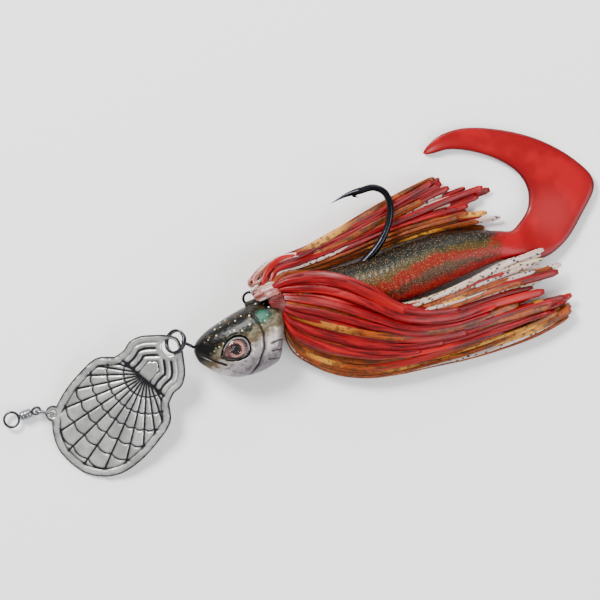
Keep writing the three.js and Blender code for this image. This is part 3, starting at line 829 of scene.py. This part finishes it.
BELLY_LOW = [
    (-3.5, -2.6, 4.2), (-1.2, -9.2, 3.2), (3.1, -12.2, 2.4), (7.5, -13.9, 2.0), (13.2, -14.5, 1.9),
    (19.4, -13.7, 1.9), (25.9, -12.1, 1.9), (32.6, -10.4, 1.8), (39.2, -8.2, 1.7), (45.7, -5.7, 1.5),
    (52.2, -2.3, 1.2),
]
STRAND_STEPS = 60
# Most that a strand wanders sideways, and how far a share of one would take it past the lines' ends.
SWAY, REACH_PAST = 0.5, 46
# Lowest middle and lowest point of a strand over the surface that the lure lies on.
STRAND_REST, STRAND_FLOOR = 0.45, 0.05


def fan(first, second, count, seed, depth, lengths):
    """Strand paths between two edge lines, at most a depth off them: (share across, path, seed, twist)."""
    rng = np.random.default_rng(seed)
    made = []
    for k in range(count):
        across = np.clip((k + 0.5) / count + rng.normal(0, 0.06), 0, 1)
        layer = rng.uniform(-1, 1)
        reach = rng.uniform(*lengths(across))
        s = np.linspace(0, reach, STRAND_STEPS)
        rail_a, rail_b = spline(first, np.clip(s, 0, 1)), spline(second, np.clip(s, 0, 1))
        phase, pitch = rng.uniform(0, 6.28), rng.uniform(0.5, 1.3)
        drift = across + rng.normal(0, 0.05) * smooth(s, 0.2, 1.0)
        path = rail_a + (rail_b - rail_a) * drift[:, None]
        along = np.gradient(path, axis=0)
        past = s > 1
        if past.any():
            last = np.argmax(past) - 1
            direction = path[last] - path[last - 3]
            direction /= np.linalg.norm(direction)
            path[past] = path[last] + (s[past] - s[last])[:, None] * REACH_PAST * direction
            along[past] = direction
        along /= np.linalg.norm(along, axis=1)[:, None]
        left = np.cross((0, 0, 1), along)
        left /= np.maximum(np.linalg.norm(left, axis=1), 1e-6)[:, None]
        wave = 2 * math.pi * pitch * s
        path = path + (SWAY * np.sin(wave + phase) * smooth(s, 0.1, 1.0))[:, None] * left
        path[:, 2] += layer * depth * (0.35 + 0.65 * smooth(s, 0.0, 0.25)) + 0.25 * np.sin(wave * 1.3 + phase)
        path[:, 2] = np.maximum(path[:, 2], STRAND_REST)
        own_seed = rng.uniform()
        twist = rng.uniform(-0.35, 0.35) + rng.uniform(-0.8, 0.8) * s
        made.append((across, path, own_seed, twist))
    return made


def ribbons(paths, width, thick, sides=10):
    """Flat strands from (points, seed, twist) paths; their own coordinates are along, across, seed."""
    parts, own = [], []
    for path, seed, twist in paths:
        n = len(path)
        gone = travelled(path)
        ends = np.clip((gone[-1] - gone) / 0.3, 0.6, 1) * np.clip(gone / 0.35, 0.5, 1)
        slim = 0.62 + 0.38 * smooth(gone, 0, 9)
        rings = skin(path, width * (0.75 + 0.5 * seed) * ends * slim, thick * ends, sides, 3.0, twist=twist)
        parts.append((capped(rings), grid_faces(n, sides)))
        side = np.cos(ring_turn(sides))
        places = [np.repeat(gone[:, None], sides, 1), np.repeat(side[None], n, 0), np.full((n, sides), seed)]
        own.append(capped(np.stack(places, axis=2)))
    points, faces = merged(*parts)
    return points, faces, np.concatenate(own)


def strands(name, paths, look, slot, node=(), width=0.68, thick=0.27):
    points, faces, own = ribbons(paths, width, thick)
    points[:, 2] = np.maximum(points[:, 2], STRAND_FLOOR)
    piece(name, points, faces, look, slot, "head", node, own=own)


def share_out(paths, seed, chances):
    """Deals a fan's strands to looks; chances(across) gives each look's weight."""
    rng = np.random.default_rng(seed)
    dealt = {}
    for across, path, own_seed, twist in paths:
        weights = chances(across)
        looks = sorted(weights)
        total = sum(weights.values())
        look = looks[int(rng.choice(len(looks), p=[weights[name] / total for name in looks]))]
        dealt.setdefault(look, []).append((path, own_seed, twist))
    return dealt


def hump(value, middle, width):
    return math.exp(-((value - middle) / width) ** 2)


def upper_chances(across):
    return {
        "red": 1.0 if across < 0.45 else 0.35,
        "gold": 0.12 if across < 0.4 else 0.9,
        "clear": 0.12 + 0.3 * hump(across, 0.5, 0.12),
    }


def mass_chances(across):
    return {"red": 1.0, "gold": 0.05 + 0.25 * across}


def band_chances(across):
    return {"clear": 1.3 - across, "gold": 0.5 * across, "red": 0.45 * across}


def belly_chances(across):
    return {"gold": 1.0, "red": 0.55 * (1 - across), "clear": 0.08 + 0.75 * across ** 3}


def skirt():
    """Four fans, dealt to red, gold and clear bundles."""
    upper = fan(UPPER_TOP, UPPER_LOW, 54, 31, 0.75, lambda f: (0.84, 1.0 + 0.16 * hump(f, 0.28, 0.22)))
    mass = fan(MASS_TOP, MASS_LOW, 74, 32, 1.0, lambda f: (0.55 - 0.1 * f, 1.0))
    band = fan(CLEAR_TOP, CLEAR_LOW, 30, 33, 0.8, lambda f: (0.84, 1.02))
    belly = fan(BELLY_TOP, BELLY_LOW, 78, 34, 1.4, lambda f: (0.72, 1.02))
    upper = share_out(upper, 41, upper_chances)
    mass = share_out(mass, 42, mass_chances)
    band = share_out(band, 43, band_chances)
    belly = share_out(belly, 44, belly_chances)
    lower_red = mass["red"][::2] + belly["red"] + band["red"]
    lower_gold = belly["gold"] + mass["gold"] + band["gold"]
    lower_clear = band["clear"] + belly["clear"]
    strands("upper_red_strands", upper["red"], "red", "silicone_red", "skirt_upper_red")
    strands("upper_gold_strands", upper["gold"], "gold", "silicone_gold", "skirt_upper_gold")
    strands("upper_clear_strands", upper["clear"], "clear", "silicone_clear", width=0.45)
    strands("lower_red_strands", lower_red, "red", "silicone_red", "skirt_lower_red")
    strands("long_red_strands", mass["red"][1::2], "red", "silicone_red", "skirt_long_red", width=0.75)
    strands("lower_gold_strands", lower_gold, "gold", "silicone_gold", "skirt_lower_gold")
    strands("lower_clear_strands", lower_clear, "clear", "silicone_clear", "skirt_lower_clear", width=0.5)


COLLAR_HALF = 1.5
COLLAR_SIDES = 72


def collar_band():
    """The silicone band that grips the strands, with a bulged and finely ribbed outside."""
    profile = []
    for k in range(25):
        turn = math.pi * k / 24
        bulge = 3.05 + 0.55 * math.sin(turn) ** 0.5 - 0.05 * (k % 2)
        profile.append((-COLLAR_HALF * math.cos(turn), bulge))
    profile += [(x, 3.0) for x in (1.45, 0.5, -0.5, -1.45)]
    turn = ring_turn(COLLAR_SIDES)
    shape = np.array([[(x, r * math.cos(t), r * math.sin(t)) for t in turn] for x, r in profile])
    points = moved(NECK_FRAME, shape.reshape(-1, 3))
    own = np.column_stack([points[:, 0] * 2, points[:, 1] * 2, np.full(len(points), 0.4)])
    faces = grid_faces(len(shape), COLLAR_SIDES, closed=True)
    piece("collar_band", points, faces, "collar", "silicone_clear", "head", "skirt_collar", own=own)


def flare():
    """The strands' short front ends that curl out from under the collar, and those that sweep round it."""
    rng = np.random.default_rng(21)
    tufts = []
    for _ in range(40):
        turn = math.radians(rng.uniform(-70, 70))
        out = rng.uniform(3.9, 5.6)
        front = rng.uniform(-3.7, -2.4)
        bend = [(1.2, 3.2), (0.2, 3.85), (-1.6, 3.9), (front + 0.3, 0.5 * (out + 3.9)), (front, out)]
        bend.append((front + rng.uniform(0.5, 1.6), out + 0.3))
        line = [(x, r * math.cos(turn), r * math.sin(turn)) for x, r in bend]
        path = moved(NECK_FRAME, spline(line, np.linspace(0, 1, 30)))
        tufts.append((path, rng.uniform(), rng.uniform(-1.4, 1.4)))
    strands("front_flare", tufts, "flare", "silicone_clear", "skirt_front_flare", width=0.55, thick=0.28)
    sweeps = []
    for k in range(24):
        shift, rise, inner = rng.uniform(-0.4, 0.4), rng.uniform(-1.6, 1.6), (k % 6) / 5
        line = [
            (-6.0, 2.6, 6.4),
            (-8.2 + 1.6 * inner + shift, 2.8, 6.6 + rise),
            (-8.9 + 2.6 * inner + shift, 3.7 + 0.6 * inner, 6.4 + rise),
            (-7.2 + 1.6 * inner + shift, 5.9, 6.0 + rise),
            (-4.6 + inner + shift, 7.7, 5.2 + 0.6 * rise),
            (0.5, 9.5 + shift - inner, 4.2 + 0.3 * rise),
            (5, 11.4 + shift - inner, 3.8),
        ]
        path = spline(line, np.linspace(0, rng.uniform(0.6, 1.0), 40))
        sweeps.append((path, rng.uniform(), rng.uniform(-0.8, 0.8)))
    strands("swept_clear_strands", sweeps[1::2], "flare", "silicone_clear", width=0.5)
    strands("swept_red_strands", sweeps[2::4], "red", "silicone_red", width=0.6)
    strands("swept_gold_strands", sweeps[::4], "gold", "silicone_gold", width=0.5)


# ---- blade, ring, link and swivel ----

# The blade's own frame has X from the tail end to the ring's hole. It leans on its tail end, pitched up.
BLADE_PITCH = 11.7
BLADE_TAIL, BLADE_HALF = 15.9, 0.4
PITCH = math.radians(BLADE_PITCH)
BLADE_RISE = BLADE_TAIL * math.sin(PITCH) + BLADE_HALF * math.cos(PITCH)
BLADE_FRAME = (
    Matrix.Translation((-34.2, -19.83, BLADE_RISE)) @ rotation(49.5, "Z") @ rotation(-BLADE_PITCH, "Y")
)
RING_HOLE, RING_HOLE_RADIUS = np.array([14.5, 0]), 1.6
LINK_HOLE, LINK_HOLE_RADIUS, LUG_RADIUS = np.array([-10.6, 8.9]), 0.65, 1.55
BLADE_BODY = [
    (-15.9, 0), (-15.5, 3.2), (-13.6, 6.5), (-10.8, 8.7), (-6.5, 9.9), (-1, 10.1), (3.4, 9.4), (6, 6.9),
]
BLADE_CAP = [
    (6, 6.9), (8, 6.4), (10.2, 6.6), (12.3, 5.7), (14.3, 3.8), (16, 1.8), (16.8, 0), (16, -1.8),
]
MESH_PITCH = 0.17
# The shell fan opens from here, with a rib for each angle and a growth step for each distance.
FAN_START, RIB_ANGLE, GROWTH = 7.6, math.radians(10.5), 3.3


def flat_spline(line, end, count):
    return spline([(x, y, 0) for x, y in line], np.linspace(0, end, count))[:, :2]


def blade_edge():
    """The blade's outline: a round body, a stepped cap, and a lug round the link's hole."""
    half = np.vstack([flat_spline(BLADE_BODY, 1, 130)[:-1], flat_spline(BLADE_CAP, 0.93, 100)])
    half = half[half[:, 1] >= 0]
    line = np.vstack([half, (half * (1, -1))[::-1][1:-1]])
    within = np.flatnonzero(np.linalg.norm(line - LINK_HOLE, axis=1) < LUG_RADIUS)
    entry, leave = line[within[0]] - LINK_HOLE, line[within[-1]] - LINK_HOLE
    first, last = math.atan2(entry[1], entry[0]), math.atan2(leave[1], leave[0])
    arc = np.linspace(first, last - 2 * math.pi * (last > first), 26)
    lug = LINK_HOLE + LUG_RADIUS * np.column_stack([np.cos(arc), np.sin(arc)])
    edge = np.vstack([line[:within[0]], lug, line[within[-1] + 1:]])
    return edge[np.concatenate([[True], np.linalg.norm(np.diff(edge, axis=0), axis=1) > 0.05])]


def blade_mesh(edge):
    """Points and triangles of the flat blade, with both holes, on a grid fine enough for the relief."""
    turn = ring_turn(64)
    circle = np.column_stack([np.cos(turn), np.sin(turn)])
    holes = [RING_HOLE + RING_HOLE_RADIUS * circle, LINK_HOLE + LINK_HOLE_RADIUS * circle[::2]]

    def on_blade(points):
        return inside(points, edge) & ~inside(points, holes[0]) & ~inside(points, holes[1])

    xs, ys = np.meshgrid(np.arange(-16.5, 17.2, MESH_PITCH), np.arange(-10.6, 10.7, MESH_PITCH * 0.866))
    xs = xs + (np.arange(xs.shape[0]) % 2)[:, None] * MESH_PITCH / 2
    field = np.column_stack([xs.ravel(), ys.ravel()])
    rims = [edge, *holes]
    from_rim = np.minimum.reduce([near_line(field, closed_line(line)) for line in rims])
    flat = np.vstack([*rims, field[on_blade(field) & (from_rim > 0.13)]])
    constraints, start = [], 0
    for line in rims:
        n = len(line)
        constraints += [(start + i, start + (i + 1) % n) for i in range(n)]
        start += n
    out = delaunay_2d_cdt([Vector(p) for p in flat], constraints, [], 0, 1e-7)
    flat = np.array([tuple(p) for p in out[0]])
    tris = np.array([face for face in out[2]])
    return flat, tris[on_blade(flat[tris].mean(1))]


def shell_relief(x, y):
    """Height from 0 to 1 of a fan of domed ribs, cut by grooves between them and at each growth step."""
    ray = np.arctan2(y, FAN_START - x)
    reach = np.hypot(x - FAN_START, y)
    off_rib = np.abs((ray / RIB_ANGLE + 0.5) % 1 - 0.5)
    to_groove = (0.5 - off_rib) * RIB_ANGLE * reach
    dome = np.sqrt(np.clip(1 - (2 * off_rib) ** 2, 0, 1))
    grown = ((reach - 0.9 * dome) / GROWTH) % 1
    to_step = np.abs(grown - 0.12) * GROWTH
    grooves = np.maximum(np.exp(-(to_groove / 0.27) ** 2), 0.9 * np.exp(-(to_step / 0.3) ** 2))
    return (0.55 + 0.3 * dome + 0.25 * (1 - grown)) * (1 - grooves)


def blade():
    """Stamped plate: ridges along the cap's edge, a shell fan on the round body, a bead on the rim."""
    edge = blade_edge()
    flat, tris = blade_mesh(edge)
    to_edge = near_line(flat, closed_line(edge))
    to_ring = np.abs(np.linalg.norm(flat - RING_HOLE, axis=1) - RING_HOLE_RADIUS)
    to_link = np.abs(np.linalg.norm(flat - LINK_HOLE, axis=1) - LINK_HOLE_RADIUS)
    x, y = flat[:, 0], flat[:, 1]
    cap = smooth(x, 5.9, 7.1)
    terraces = 0.5 + 0.5 * np.cos(2 * math.pi * (to_edge - 0.5) / 1.35)
    terraces = np.where(to_edge < 5.2, terraces, 1)
    bead = np.exp(-((to_edge - 0.8) / 0.5) ** 2)
    moat = np.exp(-((to_edge - 1.6) / 0.26) ** 2) * (1 - cap)
    neck_line = np.exp(-((x - 6.5) / 0.4) ** 2)
    high = cap * terraces + (1 - cap) * shell_relief(x, y)
    high = np.maximum(high * (1 - 0.8 * moat), bead)
    high *= 1 - 0.85 * neck_line * smooth(to_edge, 1.0, 1.8)
    boss = np.minimum(smooth(to_ring, 0.7, 1.3), smooth(to_link, 0.6, 1.1))
    high = high * boss + (1 - boss) * 0.75
    bevel = np.minimum.reduce([to_edge, to_ring, to_link])
    round_off = np.sqrt(np.clip(1 - (1 - np.clip(bevel / 0.3, 0, 1)) ** 2, 0, 1))
    top = 0.18 * high + 0.02 + 0.2 * round_off
    bottom = -0.2 - 0.2 * round_off + 0.1 * (high - 0.5) * smooth(bevel, 0.2, 0.8)
    count = len(flat)
    points = np.vstack([np.column_stack([x, y, top]), np.column_stack([x, y, bottom])])
    faces = tris.tolist() + (tris[:, ::-1] + count).tolist()
    edges = {}
    for t in tris.tolist():
        for a, b in ((t[0], t[1]), (t[1], t[2]), (t[2], t[0])):
            if edges.pop((b, a), None) is None:
                edges[(a, b)] = True
    faces += [(b, a, a + count, b + count) for a, b in edges]
    # Dark in the low ground for the antique blackening, and dark along the outline as painted shade.
    blackening_and_edge_shade = np.maximum(np.clip(1 - high, 0, 1), 0.95 * np.exp(-(to_edge / 0.5) ** 2))
    relief = np.zeros((2 * count, 3))
    relief[:, 0] = np.concatenate([blackening_and_edge_shade, blackening_and_edge_shade * 0.7])
    points = moved(BLADE_FRAME, points)
    piece("stamped_blade", points, faces, "blade", "blade_nickel", "blade", "blade", relief=relief)


def split_ring():
    """Two turns of flattened wire, stepping across where they pass."""
    turn = np.linspace(0.12, 4 * math.pi - 0.12, 300)
    step = -0.235 + 0.47 * smooth(turn, 2 * math.pi - 0.45, 2 * math.pi + 0.45)
    path = np.column_stack([2.15 * np.cos(turn), 2.15 * np.sin(turn), step])
    points, faces = tube(path, 0.26, 14, height=0.215, power=3.2)
    place = BLADE_FRAME @ Matrix.Translation((16.05, -0.15, 0)) @ rotation(7, "Z") @ rotation(-35, "X")
    piece("coiled_ring", moved(place, points), faces, "wire_dark", "wire_steel", "ring", "split_ring")


# The line tie lies level at this height, and the swivel stands this far from the link's hole.
TIE_Z = 1.35
SWIVEL_OFFSET = (-5.3, -0.2)
# Half of the barrel, from its pressed end to its middle: distance from the middle, radius.
BARREL_HALF = [
    (1.15, 0.46), (1.15, 0.7), (1.08, 0.8), (0.95, 0.88), (0.8, 0.93), (0.55, 0.95), (0.5, 0.95),
    (0.42, 0.86), (0.34, 0.95), (0.1, 0.95),
]


def line_tie():
    """The link through the blade's lug, and the barrel swivel with an eye at each end."""
    hole = moved(BLADE_FRAME, [(*LINK_HOLE, 0)])[0]
    turn = np.linspace(-math.pi / 2, math.pi / 2, 26)
    right = np.column_stack([-1 + np.cos(turn), 0 * turn, np.sin(turn)])
    left = np.column_stack([-2.4 - np.cos(turn), 0 * turn, -np.sin(turn)])
    points, faces = tube(np.vstack([right, left]), 0.25, 14, up=(0, 1, 0), closed=True)
    place = Matrix.Translation((hole[0], hole[1], TIE_Z)) @ rotation(-8, "Z")
    piece("link_loop", moved(place, points), faces, "wire_steel", "wire_steel", "link", "link_wire")

    middle = (hole[0] + SWIVEL_OFFSET[0], hole[1] + SWIVEL_OFFSET[1], TIE_Z)
    swivel = Matrix.Translation(middle) @ rotation(20, "Z")
    shape = [(-x, radius) for x, radius in BARREL_HALF] + BARREL_HALF[::-1]
    points, faces = lathe(shape, 72)
    piece("swivel_body", moved(swivel, points), faces, "wire_steel", "wire_steel", "barrel", "swivel_barrel")

    points, faces = wire_eye(1.45, 0.25, 1.05, wraps=2)
    points = moved(swivel @ Matrix.Translation((-2.95, 0, 0)), points)
    piece("swivel_front_loop", points, faces, "wire_dark", "wire_steel", "front_eye", "swivel_front_eye")
    points, faces = wire_eye(0.8, 0.25, 0.85)
    turned = swivel @ rotation(180, "Z") @ rotation(40, "X")
    points = moved(turned @ Matrix.Translation((-2.1, 0, 0)), points)
    piece("swivel_rear_loop", points, faces, "wire_dark", "wire_steel", "rear_eye", "swivel_rear_eye")


head()
eye("left", 1)
eye("right", -1)
line_eyes()
hook()
soft_bait()
skirt()
collar_band()
flare()
blade()
split_ring()
line_tie()

bpy.ops.mesh.primitive_plane_add(size=1.6, location=(0, 0, -0.00005))
floor = bpy.context.object
floor.name = "floor"
floor.data.materials.append(floor_look())
